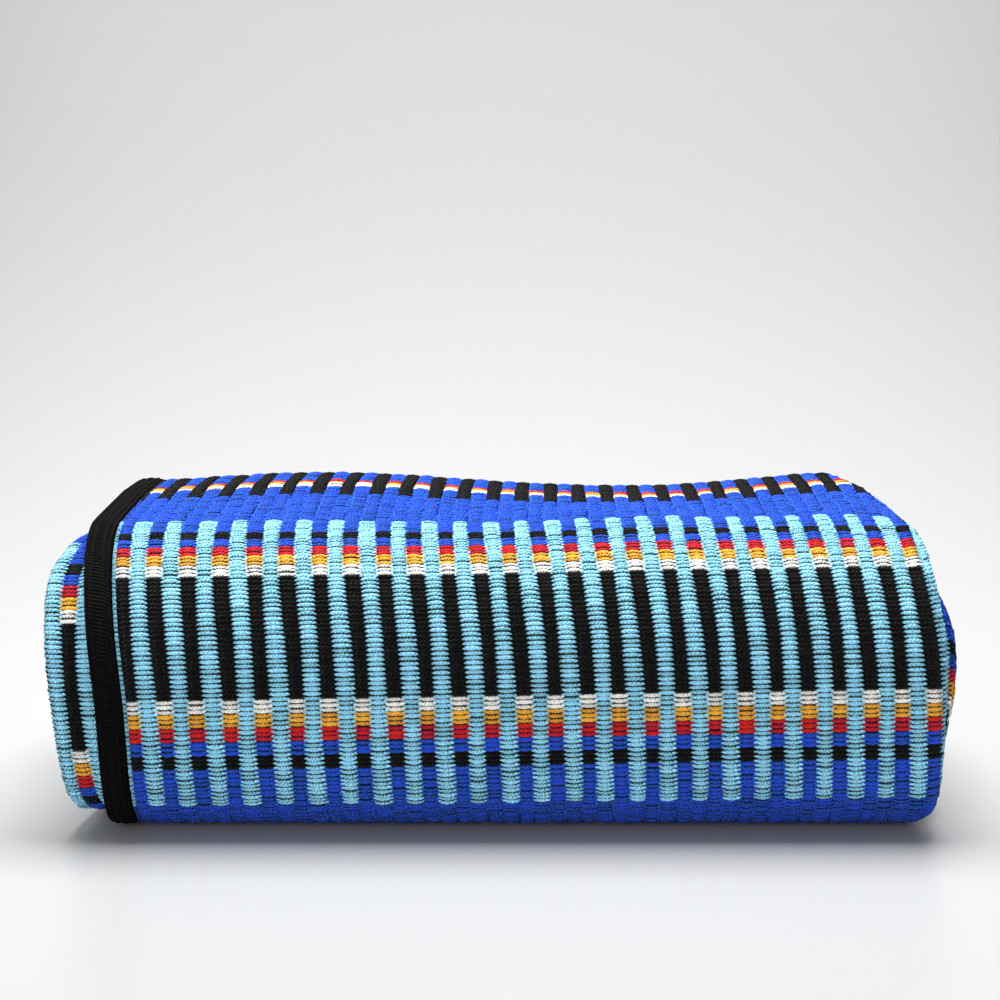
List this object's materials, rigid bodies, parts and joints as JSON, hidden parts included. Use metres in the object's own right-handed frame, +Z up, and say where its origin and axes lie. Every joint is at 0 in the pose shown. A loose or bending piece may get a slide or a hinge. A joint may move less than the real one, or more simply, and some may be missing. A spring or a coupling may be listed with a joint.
{
  "type": "folded throw blanket",
  "caption": "Throw blanket in a thick weft-faced rib weave with broken stripes, folded into a pack, with a black yarn edging along one selvedge.",
  "frame": {"origin": "middle of the flat face that the folded blanket rests on, under the middle of its extents", "axes": "+X along the long side of the pack, to the right of the front fold; +Z up through the layers; the outermost fold faces -Y"},
  "size_m": [0.4537, 0.2525, 0.1622],
  "materials": {
    "cloth": "matte plied cotton yarn in a weft-faced rib weave",
    "edging": "matte black yarn, closely stitched"
  },
  "bodies": {
    "root": {"blanket_cloth": "cloth", "edge_binding": "edging"}
  },
  "joints": []
}
